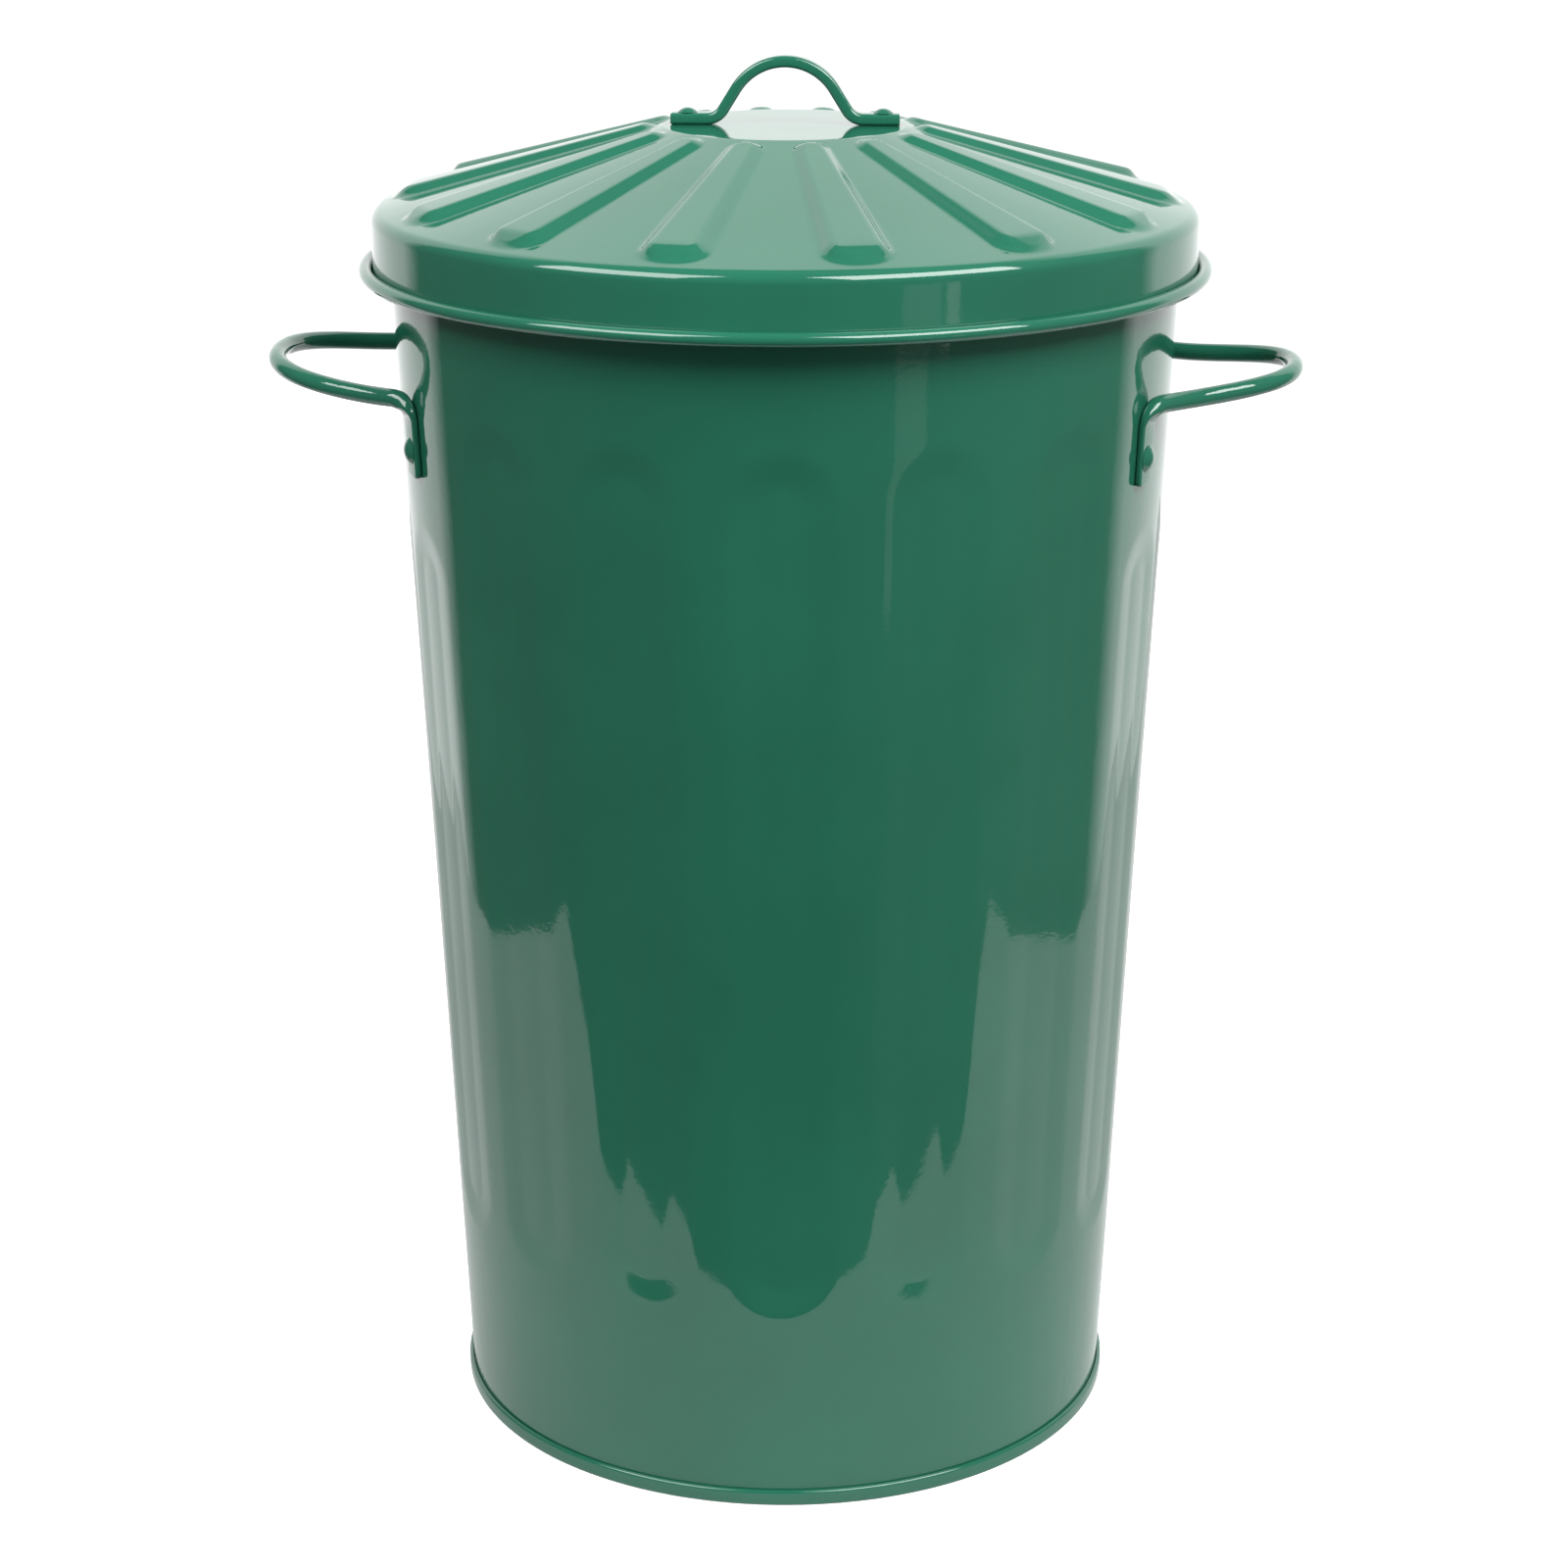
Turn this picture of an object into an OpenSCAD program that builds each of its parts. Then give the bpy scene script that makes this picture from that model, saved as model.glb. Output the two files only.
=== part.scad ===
// Litter bin: a tapered, fluted sheet-steel bin with two riveted loop handles
// and a ribbed lift-off lid with a strap handle.
// The frame stands on the floor at the centre of the base, +Z up.
// The side handles lie on the X axis and the front of the bin faces -Y.

/* [Body] */
// Outer radius that the tapered wall would have at the floor
base_r = 145; // [140:1:150]
// Growth of the wall's radius per millimetre of height
taper = 0.0425; // [0.035:0.0025:0.05]
// Thickness of the coated sheet steel
wall = 0.7; // [0.5:0.1:0.8]
// Height of the centre of the bead rolled around the mouth
bead_z = 531.4; // [520:0.2:533]
// Outer radius of the bead's round section
bead_r = 3; // [2.6:0.1:3]

/* [Flutes] */
// Number of flutes pressed into the wall
flute_count = 16; // [12:4:16]
// Full width of a flute
flute_w = 47; // [36:1:48]
// Depth of a flute
flute_depth = 1.4; // [1:0.1:2.4]
// Height of the lower end of every flute
flute_bottom = 89; // [70:1:120]
// Height of the upper end of a full flute
flute_top = 466; // [440:1:470]
// Height of the upper end of the shorter flutes below the side handles
short_flute_top = 412; // [380:1:415]
// Turn of the pressed flutes from the line of the side handles
flute_turn = 2.3; // [0:0.1:3]

/* [Base] */
// Height of the double seam that joins the base to the wall
seam_h = 4.6; // [4:0.1:6]
// Outer radius of the double seam
seam_r = 147.2; // [147:0.1:148]
// Height of the base panel's upper face above the floor
base_z = 7; // [6:0.5:10]

/* [Side handles] */
// Diameter of the handle rod
rod_d = 7.6; // [6:0.2:8]
// Distance from the bin's axis to the rod's centre line at the tip of the loop
loop_reach = 217.6; // [214:0.2:222]
// Angle between each leg of the loop and the X axis, in degrees
leg_angle = 30; // [28:1:36]
// Upward slope of the loop, in degrees
loop_slope = 8.4; // [0:0.2:10]
// Angle of each riveted tab around the bin from the X axis, in degrees
tab_angle = 24.3; // [22:0.1:26]
// Width of the flattened tab
tab_w = 12; // [10:0.5:14]
// Thickness of the flattened tab
tab_t = 2.8; // [2.4:0.1:3.2]
// Height of the rivets that hold the tabs
tab_rivet_z = 443; // [440:0.5:448]
// Distance from the rivet down to the tab's lower end
tab_drop = 12; // [10:0.5:14]
// Distance from the rivet up to where the tab starts to round into rod
tab_rise = 8; // [7:0.5:10]
// Radius of the elbow between the loop and the tab
elbow_r = 8; // [7:0.5:10]
// Diameter of the domed heads of the side handle rivets
side_rivet_d = 11.2; // [9:0.2:12]
// Height of those heads
side_rivet_h = 2.6; // [2:0.1:3]

/* [Lid] */
// Outer radius of the lid's rolled rim
rim_r = 180; // [178:0.5:182]
// Height of the centre of the rolled rim
rim_z = 511; // [508:0.5:514]
// Radius of the rolled rim's round section
rim_tube_r = 2.9; // [2.6:0.1:3]
// Outer radius of the lid's upright skirt
skirt_r = 174; // [173.8:0.1:174.4]
// Outer radius of the round shoulder above the skirt
shoulder_r = 5.5; // [5:0.1:6]
// Slope of the lid's cone in degrees
cone_slope = 15.3; // [14:0.1:16]
// Radius of the flat disc in the middle of the lid
disc_r = 51.2; // [50:0.2:54]
// Height of the flat disc
disc_z = 568.9; // [568:0.1:570]

/* [Lid ribs] */
// Number of raised ribs around the cone
rib_count = 14; // [10:1:14]
// Height of a rib above the cone
rib_h = 3.4; // [2:0.1:4]
// Width of a rib at its outer end
rib_w_out = 27; // [16:0.5:28]
// Width of a rib at its inner end
rib_w_in = 17; // [10:0.5:18]
// Distance from the lid's axis to the outer end of a rib
rib_end_out = 165.5; // [150:0.5:166]
// Distance from the lid's axis to the inner end of a rib
rib_end_in = 54; // [53:0.5:60]

/* [Lid handle] */
// Thickness of the strap
strap_t = 4.8; // [4:0.1:5.4]
// Width of the strap across the lid
strap_w = 9; // [8:0.5:12]
// Half the overall length of the strap handle
strap_half = 48; // [47:0.5:48.5]
// Radius of the arch's centre line
arch_r = 24.3; // [22:0.1:26]
// Height of the centre of the arch above the flat disc
arch_rise = 1.9; // [1:0.1:4]
// Steepest slope of the strap, in degrees
strap_slope = 58; // [50:1:64]
// Radius of the bend where the strap meets its foot
foot_bend_r = 8; // [6:0.5:9]
// Distance of each lid rivet from the middle of the handle
lid_rivet_x = 41; // [40:0.5:42]
// Diameter of the domed heads of the lid rivets
lid_rivet_d = 8.4; // [7:0.2:9]
// Height of those heads
lid_rivet_h = 2; // [1.5:0.1:2.4]

/* [Rivets] */
// Diameter of the rivet shanks
shank_d = 4.2; // [3.6:0.1:5]
// Clearance around a shank in its hole
hole_gap = 0.05; // [0.02:0.01:0.1]
// Thickness of the flattened tail inside the sheet
tail_h = 1.2; // [0.8:0.1:1.6]

/* [Hidden] */
$fn = 96;
enamel = [0.07, 0.36, 0.25];
enamel_light = [0.10, 0.44, 0.31];
rivet_tone = [0.05, 0.30, 0.21];

flute_pitch = 360 / flute_count;
taper_angle = atan(taper);
seat_gap = 0.05;
head_gap = 0.02;
tail_gap = 0.08;
tail_spread = 1.6;
// the flutes within this angle of the X axis stop short below the handle tabs
short_span = tab_angle + flute_pitch / 4;

// gaps between pieces of sheet that lie against each other
seam_gap = 0.1;
seam_lip = 0.9;
bead_x = wall_r(bead_z) - wall + bead_r;
bead_end = -108;
// length of a cutting tool that goes right through, and how far a cutter runs past its work
drill_h = 12;
spare = 5;

// pieces of one rod run this far into each other, a quarter of it thinner
seat = 0.4;
tab_top = tab_rivet_z + tab_rise;
neck_h = 3.5;
elbow_z = tab_top + neck_h;
rod_set_out = 1.7;
rod_foot_r = wall_r(elbow_z) + tab_t / 2 + rod_set_out;
rod_foot = rod_foot_r * [cos(tab_angle), sin(tab_angle)];
leg_dir = [cos(leg_angle), -sin(leg_angle)];
leg_normal = [sin(leg_angle), cos(leg_angle)];
loop_x = (loop_reach - rod_foot * leg_normal) / (1 - sin(leg_angle));
loop_r = loop_reach - loop_x;
leg_end = [loop_x, 0] + loop_r * leg_normal;
leg_start = rod_foot + elbow_r * leg_dir;
leg_len = norm(leg_end - leg_start);

cone_tan = tan(cone_slope);
cone_cos = cos(cone_slope);
shoulder_x = skirt_r - shoulder_r;
shoulder_z = cone_z(shoulder_x) - shoulder_r / cone_cos;
rim_x = rim_r - rim_tube_r;
rim_mid_r = rim_tube_r - wall / 2;
rim_bend_x = skirt_r - wall / 2 + rim_mid_r;
rim_curl_end = 560;

strap_z = disc_z + strap_t / 2 + seat_gap;
arch_z = disc_z + arch_rise;
arch_end = [arch_r * sin(strap_slope), arch_z + arch_r * cos(strap_slope)];
bend_rise = foot_bend_r * (1 - cos(strap_slope));
leg_drop = arch_end[1] - strap_z - bend_rise;
bend_top_x = arch_end[0] + leg_drop / tan(strap_slope);
bend_x = bend_top_x + foot_bend_r * sin(strap_slope);

// points along an arc about centre c from angle a0 to a1
function arc(c, r, a0, a1, n = 14) =
    [for (i = [0:n]) c + r * [cos(a0 + (a1 - a0) * i / n), sin(a0 + (a1 - a0) * i / n)]];
function unit(v) = v / norm(v);
function left_of(v) = [-v[1], v[0]];
// point i of path p moved by d to the path's left, mitred at the corners
function beside(p, i, d) =
    let (a = i > 0 ? unit(p[i] - p[i - 1]) : unit(p[1] - p[0]),
        b = i < len(p) - 1 ? unit(p[i + 1] - p[i]) : a,
        n = unit(left_of(a) + left_of(b)))
    p[i] + n * d / (n * left_of(a));
// outer radius of the body's wall at height z
function wall_r(z) = base_r + taper * z;
// height of the lid's cone at distance x from the axis
function cone_z(x) = disc_z - cone_tan * (x - disc_r);
// angle of flute i from +X
function flute_at(i) = flute_turn + 90 + i * flute_pitch;
// angle between a direction and the nearer end of the X axis
function off_x(a) = abs(asin(sin(a)));
// upper end of flute i
function flute_end(i) = off_x(flute_at(i)) < short_span ? short_flute_top : flute_top;

// ring of sheet that follows the taper, from depth d0 to depth d1 inside the wall's outer face
module taper_ring(d0, d1, z0, z1) {
    rotate_extrude()
        polygon([[wall_r(z0) - d0, z0], [wall_r(z1) - d0, z1],
            [wall_r(z1) - d1, z1], [wall_r(z0) - d1, z0]]);
}

// upright stadium outline, w wide, from height z0 to z1
module stadium(w, z0, z1) {
    translate([-w / 2, z0 + w / 2]) square([w, z1 - z0 - w]);
    translate([0, z0 + w / 2]) circle(d = w);
    translate([0, z1 - w / 2]) circle(d = w);
}

// all the flute outlines as blocks pushed in from outside, each wider by grow on every side
module flute_blocks(grow) {
    for (i = [0:flute_count - 1])
        rotate([0, 0, flute_at(i)])
            translate([base_r / 2, 0, 0])
                rotate([90, 0, 90])
                    linear_extrude(base_r)
                        stadium(flute_w + 2 * grow, flute_bottom - grow, flute_end(i) + grow);
}

// places its children on the wall's outer face at angle a from +X and height z,
// with local X pointing straight out of the sheet
module on_wall(a, z) {
    rotate([0, 0, a])
        translate([wall_r(z), 0, z])
            rotate([0, taper_angle, 0])
                children();
}

// outline of sheet t thick whose middle follows path p
module strip(p, t) {
    polygon(concat([for (i = [0:len(p) - 1]) beside(p, i, t / 2)],
        [for (i = [len(p) - 1:-1:0]) beside(p, i, -t / 2)]));
}

module body_shell() {
    flange_z = 1.5 * wall + seam_gap;
    // edge turned out into the seam, up the wall, and over into the bead
    path = concat([[seam_r - wall - seam_gap, flange_z], [wall_r(flange_z) - wall / 2, flange_z]],
        arc([bead_x, bead_z], bead_r - wall / 2, 180, bead_end, 24));
    color(enamel)
    difference() {
        union() {
            rotate_extrude() strip(path, wall);
            intersection() {
                taper_ring(wall / 2, wall + flute_depth, flute_bottom - spare, flute_top + spare);
                flute_blocks(0);
            }
        }
        intersection() {
            taper_ring(-wall, flute_depth, flute_bottom - spare, flute_top + spare);
            flute_blocks(-wall);
        }
        for (side = [0, 180])
            for (a = [-tab_angle, tab_angle])
                on_wall(side + a, tab_rivet_z)
                    rotate([0, 90, 0])
                        cylinder(d = shank_d + 2 * hole_gap, h = drill_h, center = true);
    }
}

module base_pan() {
    panel_x = base_r - 1.5 * wall - seam_gap / 2;
    seam_x = seam_r - wall / 2;
    // panel, down to the floor inside the wall, out under it, and up into the gripping lip
    path = [[0, base_z - wall / 2], [panel_x, base_z - wall / 2], [panel_x, wall / 2],
        [seam_x, wall / 2], [seam_x, seam_h - wall / 2],
        [seam_x - wall / 2 - seam_lip, seam_h - wall / 2]];
    color(enamel) rotate_extrude() strip(path, wall);
}

// places its children in the plane of the handle's loop, which slopes up and outward
// from the tops of the two elbows
module in_loop_plane() {
    translate([leg_start[0], 0, elbow_z + elbow_r])
        rotate([0, -loop_slope, 0])
            translate([-leg_start[0], 0, 0])
                children();
}

// tip of the loop, as one arc between its two legs
module loop_tip() {
    translate([loop_x, 0, 0])
        rotate([0, 0, leg_angle - 90])
            rotate_extrude(angle = 180 - 2 * leg_angle)
                translate([loop_r, 0]) circle(d = rod_d);
}

// straight leg of the loop and the elbow that turns it down, on the +Y side
module loop_leg() {
    translate([leg_start[0], leg_start[1], 0]) {
        rotate([0, 90, -leg_angle])
            translate([0, 0, -seat])
                cylinder(d = rod_d - seat / 4, h = leg_len + 2 * seat);
        translate([0, 0, -elbow_r])
            rotate([90, 0, -leg_angle])
                rotate([0, 0, 90])
                    rotate_extrude(angle = 90)
                        translate([elbow_r, 0]) circle(d = rod_d);
    }
}

// flattened tab with its rivet hole, and the rod's transition into it, on the +Y side
module tab() {
    difference() {
        on_wall(tab_angle, tab_rivet_z)
            translate([seat_gap, -tab_w / 2, -tab_drop])
                cube([tab_t, tab_w, tab_drop + tab_top - tab_rivet_z]);
        on_wall(tab_angle, tab_rivet_z)
            rotate([0, 90, 0])
                cylinder(d = shank_d + 2 * hole_gap, h = drill_h, center = true);
    }
    hull() {
        on_wall(tab_angle, tab_rivet_z)
            translate([seat_gap + seat / 8, (seat / 4 - tab_w) / 2, tab_top - tab_rivet_z - seat])
                cube([tab_t - seat / 4, tab_w - seat / 4, 2 * seat]);
        in_loop_plane()
            translate([rod_foot[0], rod_foot[1], -elbow_r - seat])
                cylinder(d = rod_d - seat / 4, h = 2 * seat, $fn = 20);
    }
}

// side handle on the +X side
module side_handle() {
    in_loop_plane() loop_tip();
    for (m = [0, 1])
        mirror([0, m, 0]) {
            in_loop_plane() loop_leg();
            tab();
        }
}

module side_handle_left() {
    color(enamel_light) mirror([1, 0, 0]) side_handle();
}

module side_handle_right() {
    color(enamel_light) side_handle();
}

// rivet with its head seated at z = 0, its shank down through the grip, and its flattened tail
module rivet(head_d, head_h, grip) {
    ball_r = (head_h * head_h + head_d * head_d / 4) / (2 * head_h);
    rotate_extrude()
        intersection() {
            translate([0, head_h - ball_r]) circle(r = ball_r);
            square([head_d, head_h]);
        }
    translate([0, 0, -grip - tail_h]) cylinder(d = shank_d, h = grip + tail_h + head_h / 2);
    translate([0, 0, -grip - tail_h]) cylinder(d = tail_spread * shank_d, h = tail_h);
}

// rivet of a side handle at angle a from +X
module side_rivet(a) {
    head_x = seat_gap + tab_t + head_gap;
    color(rivet_tone)
    on_wall(a, tab_rivet_z)
        translate([head_x, 0, 0])
            rotate([0, 90, 0])
                rivet(side_rivet_d, side_rivet_h, head_x + wall + tail_gap);
}

module left_front_rivet() { side_rivet(180 + tab_angle); }
module left_rear_rivet() { side_rivet(180 - tab_angle); }
module right_front_rivet() { side_rivet(-tab_angle); }
module right_rear_rivet() { side_rivet(tab_angle); }

// ring of the cone between two heights above the lid's outer face
module cone_ring(rise0, rise1) {
    x0 = disc_r + 1;
    x1 = shoulder_x - 2;
    lift0 = rise0 / cone_cos;
    lift1 = rise1 / cone_cos;
    rotate_extrude()
        polygon([[x0, cone_z(x0) + lift0], [x1, cone_z(x1) + lift0],
            [x1, cone_z(x1) + lift1], [x0, cone_z(x0) + lift1]]);
}

// tapered slot outline of a rib along +X, smaller by inset on every side
module rib_outline(inset) {
    r_out = rib_w_out / 2 - inset;
    r_in = rib_w_in / 2 - inset;
    x_out = rib_end_out - rib_w_out / 2;
    x_in = rib_end_in + rib_w_in / 2;
    lean = asin((r_out - r_in) / (x_out - x_in));
    polygon(concat(arc([x_out, 0], r_out, -90 - lean, 90 + lean, 10),
        arc([x_in, 0], r_in, 90 + lean, 270 - lean, 8)));
}

// all the rib outlines as upright blocks; the first rib lies half a pitch from -Y
module rib_blocks(inset) {
    for (i = [0:rib_count - 1])
        rotate([0, 0, -90 + (i + 0.5) * 360 / rib_count])
            translate([0, 0, rim_z])
                linear_extrude(disc_z - rim_z + spare)
                    rib_outline(inset);
}

module lid_shell() {
    // disc, cone, shoulder and skirt, then out and round into the rolled rim
    path = concat([[0, disc_z - wall / 2], [disc_r, disc_z - wall / 2]],
        arc([shoulder_x, shoulder_z], shoulder_r - wall / 2, 90 - cone_slope, 0, 10),
        arc([rim_bend_x, rim_z], rim_mid_r, 180, 270, 8),
        arc([rim_x, rim_z], rim_mid_r, 270, rim_curl_end, 24));
    color(enamel)
    difference() {
        union() {
            rotate_extrude() strip(path, wall);
            intersection() {
                cone_ring(-wall / 2, rib_h);
                rib_blocks(0);
            }
        }
        intersection() {
            cone_ring(-2 * wall, rib_h - wall);
            rib_blocks(wall);
        }
        for (x = [-lid_rivet_x, lid_rivet_x])
            translate([x, 0, disc_z]) cylinder(d = shank_d + 2 * hole_gap, h = drill_h, center = true);
    }
}

// middle line of one half of the strap, in the XZ plane, from the top of the arch outward
function strap_half_path() = concat(
    arc([0, arch_z], arch_r, 90, 90 - strap_slope),
    arc([bend_x, strap_z + foot_bend_r], foot_bend_r, 270 - strap_slope, 270, 8),
    [[strap_half, strap_z]]);

module lid_handle() {
    half = strap_half_path();
    path = concat([for (i = [len(half) - 1:-1:1]) [-half[i][0], half[i][1]]], half);
    color(enamel_light)
    difference() {
        translate([0, strap_w / 2, 0])
            rotate([90, 0, 0])
                linear_extrude(strap_w)
                    strip(path, strap_t);
        for (x = [-lid_rivet_x, lid_rivet_x])
            translate([x, 0, strap_z]) cylinder(d = shank_d + 2 * hole_gap, h = drill_h, center = true);
    }
}

// rivet of the lid handle at distance x along X
module lid_rivet(x) {
    color(rivet_tone)
    translate([x, 0, strap_z + strap_t / 2 + head_gap])
        rivet(lid_rivet_d, lid_rivet_h, strap_t + wall + seat_gap + tail_gap);
}

module lid_rivet_left() { lid_rivet(-lid_rivet_x); }
module lid_rivet_right() { lid_rivet(lid_rivet_x); }

body_shell();
base_pan();
side_handle_left();
side_handle_right();
left_front_rivet();
left_rear_rivet();
right_front_rivet();
right_rear_rivet();
lid_shell();
lid_handle();
lid_rivet_left();
lid_rivet_right();
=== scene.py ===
# %% [markdown]
# # A lidded litter bin in gloss green enamel
#
# The bin is pressed and rolled from thin sheet steel: a tapered wall with upright flutes, a base
# joined by a double seam, and a loose lid with raised ribs. Two loops of bent rod are riveted to
# its sides, and a bent strap to its lid. All of it is sprayed with the same gloss green enamel.
#
# Each piece is built round the solid model of the bin, which is loaded first as a fixed frame.
# The frame says where each piece is, and how it moves; the meshes made here give it the rounded
# bends, soft pressings and glossy paint that the plain solids leave out.

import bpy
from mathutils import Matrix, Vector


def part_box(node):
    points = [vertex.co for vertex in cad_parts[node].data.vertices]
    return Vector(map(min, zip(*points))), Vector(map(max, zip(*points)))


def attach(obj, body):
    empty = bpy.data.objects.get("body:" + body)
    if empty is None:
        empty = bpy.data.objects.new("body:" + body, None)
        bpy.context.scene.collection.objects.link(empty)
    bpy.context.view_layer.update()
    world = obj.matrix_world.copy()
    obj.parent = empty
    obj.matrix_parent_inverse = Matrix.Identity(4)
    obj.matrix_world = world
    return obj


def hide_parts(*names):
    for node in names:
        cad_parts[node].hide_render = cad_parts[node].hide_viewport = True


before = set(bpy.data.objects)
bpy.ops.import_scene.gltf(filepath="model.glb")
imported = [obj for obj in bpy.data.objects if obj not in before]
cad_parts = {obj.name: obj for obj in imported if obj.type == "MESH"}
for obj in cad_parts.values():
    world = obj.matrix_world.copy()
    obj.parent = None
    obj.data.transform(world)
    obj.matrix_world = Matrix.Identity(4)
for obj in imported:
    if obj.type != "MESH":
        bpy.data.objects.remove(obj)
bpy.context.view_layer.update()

# %% Other tools
from math import asin, cos, degrees, hypot, pi, radians, sin, tan

import bpy
import numpy as np
from mathutils import Vector

MM = 0.001
print("lengths below are in metres; a size written as 5 * MM is five millimetres")

# %% [markdown]
# ## Sizes from the frame
#
# The height of the mouth, the reach of the lid's rim and the like are read from the boxes of the
# frame's nodes, so that the meshes can't drift from the solids. A box can't tell how steep the
# wall is or how wide a flute is, so those few sizes are named values.

# %% Sizes that the boxes give
wall_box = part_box("body_shell")
base_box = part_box("base_pan")
lid_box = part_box("lid_shell")
strap_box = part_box("lid_handle")

bead_radius = 3 * MM
mouth_height = wall_box[1][2] - bead_radius
seam_radius = base_box[1][0]
seam_height = base_box[1][2]
rim_radius = lid_box[1][0]
rim_roll = 2.9 * MM
rim_height = lid_box[0][2] + rim_roll
strap_half_length = strap_box[1][0]
strap_half_width = strap_box[1][1]
print("mouth", round(mouth_height, 4), "seam", round(seam_radius, 4), "rim", round(rim_radius, 4))

# %% Sizes of the sheet, its pressings and its fittings
sheet = 0.7 * MM
wall_foot_radius = 145 * MM
wall_growth = 0.0425
flute_count = 16
flute_width = 47 * MM
flute_depth = 1.3 * MM
flute_low = 89 * MM
flute_high = 466 * MM
short_flute_high = 412 * MM
flute_turn = radians(2.3)
tab_turn = radians(24.3)


def wall_radius(z):
    """Outer radius of the tapered wall at height z."""
    return wall_foot_radius + wall_growth * z


print("wall radius at the mouth", round(wall_radius(mouth_height), 4))

# %% [markdown]
# ## The camera
#
# It stands a little to the right of the bin's front and above the lid, and looks down at about
# eighteen degrees. The camera comes first, because it is what every later choice is judged by.
# A long lens, about 80 mm, keeps the upright sides nearly parallel, as in a catalogue picture.

# %% Camera
camera_distance = 1.473
camera_height = 0.756
camera_side = radians(2.85)
camera_pitch = radians(17.97)
camera_yaw = radians(0.022)
camera_lens = 79.92
film_width = 36

camera_data = bpy.data.cameras.new("catalogue_camera")
camera_data.lens = camera_lens
camera_data.sensor_width = film_width
camera = bpy.data.objects.new("catalogue_camera", camera_data)
camera.location = (camera_distance * sin(camera_side), -camera_distance * cos(camera_side),
                   camera_height)
camera.rotation_euler = (pi / 2 - camera_pitch, 0, camera_side + camera_yaw)
bpy.context.collection.objects.link(camera)
bpy.context.scene.camera = camera
print("camera stands at", [round(v, 3) for v in camera.location], "with a", camera_lens, "mm lens")

# %% [markdown]
# ## Gloss enamel
#
# Stoved enamel is a hard, even colour under a glossy skin. What tells it from plastic is in its
# reflections: the skin has a fine "orange peel", the thin sheet below it is never quite flat, and
# here and there a grain of dust is caught in the paint. A painted image could hold these marks,
# but it would need the meshes unwrapped and would blur close up, so a recipe of nodes is used.
# The Principled shader gives the colour and the skin; four bumps, one on top of the next, give
# the wave of the sheet, the sag of the wet paint, the peel and the dust. The noises read object
# coordinates, which are metres on the real bin, so one recipe fits the wall, the lid and the
# rods. Only the green and the sizes and depths of the wave and the peel differ between them.


# %% Noise and range nodes
def noise(tree, place, size, detail, roughness=0.5):
    """Smooth noise whose grains are about size across."""
    node = tree.nodes.new("ShaderNodeTexNoise")
    node.inputs["Scale"].default_value = 1 / size
    node.inputs["Detail"].default_value = detail
    node.inputs["Roughness"].default_value = roughness
    tree.links.new(place, node.inputs["Vector"])
    return node.outputs["Fac"]


def spread(tree, value, low, high, from_low=0.3, from_high=0.7):
    """The value moved from one range to another and held inside it."""
    node = tree.nodes.new("ShaderNodeMapRange")
    for name, number in (("From Min", from_low), ("From Max", from_high),
                         ("To Min", low), ("To Max", high)):
        node.inputs[name].default_value = number
    tree.links.new(value, node.inputs["Value"])
    return node.outputs["Result"]


print("grains of 5 mm need a noise scale of", round(1 / (5 * MM)))


# %% Bump and dust nodes
dust_choice = (0.62, 0.66)
dust_spacing = 16 * MM
dust_grain = 0.45 * MM
dust_height = 0.03 * MM


def bump(tree, height, depth, below=None):
    """A bump of the given depth, on top of another one if below is given."""
    node = tree.nodes.new("ShaderNodeBump")
    node.inputs["Strength"].default_value = 1
    node.inputs["Distance"].default_value = depth
    tree.links.new(height, node.inputs["Height"])
    if below is not None:
        tree.links.new(below, node.inputs["Normal"])
    return node.outputs["Normal"]


def dust(tree, place, spacing, grain):
    """A few small round grains, one at most in each cell of the given spacing. The colour that
    each cell is given at random chooses the cells that hold one."""
    cells = tree.nodes.new("ShaderNodeTexVoronoi")
    cells.inputs["Scale"].default_value = 1 / spacing
    tree.links.new(place, cells.inputs["Vector"])
    reach = spread(tree, cells.outputs["Distance"], 1, 0, 0, grain / spacing)
    chosen = tree.nodes.new("ShaderNodeSeparateColor")
    tree.links.new(cells.outputs["Color"], chosen.inputs["Color"])
    kept = spread(tree, chosen.outputs["Red"], 0, 1, *dust_choice)
    both = tree.nodes.new("ShaderNodeMath")
    both.operation = "MULTIPLY"
    tree.links.new(reach, both.inputs[0])
    tree.links.new(kept, both.inputs[1])
    return both.outputs["Value"]


print("a dust grain is", round(dust_grain / MM, 2), "mm in radius, in cells about",
      round(dust_spacing / MM), "mm wide")

# %% Enamel recipe
darker, lighter = 0.93, 1.07
tone_size = 90 * MM
gloss_size = 25 * MM
gloss_roughness = (0.035, 0.07)
paint_ior = 1.5


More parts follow.
